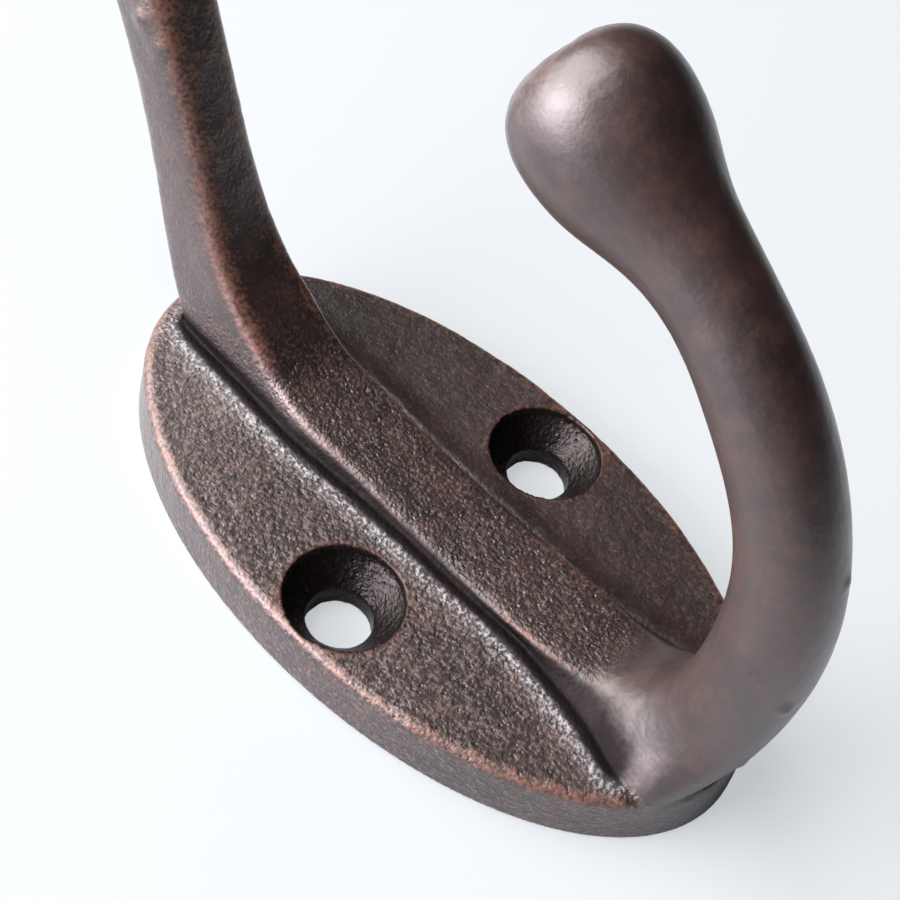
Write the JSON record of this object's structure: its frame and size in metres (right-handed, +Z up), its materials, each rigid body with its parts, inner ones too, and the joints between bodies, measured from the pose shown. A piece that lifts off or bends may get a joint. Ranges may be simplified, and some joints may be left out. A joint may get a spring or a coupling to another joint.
{
  "type": "hat and coat hook",
  "caption": "Cast iron hat and coat hook: oval wall plate with countersunk screw holes, a short lower hook and a long upper arm, each ending in a knob.",
  "frame": {"origin": "middle of the oval plate's back face, in the wall plane", "axes": "+Y into the wall, +Z up along the plate's long axis, +X to the right as seen from the room"},
  "size_m": [0.0374, 0.0829, 0.1217],
  "materials": {
    "casting": "satin antique copper over cast iron"
  },
  "bodies": {
    "root": {"hook_casting": "casting"}
  },
  "joints": []
}
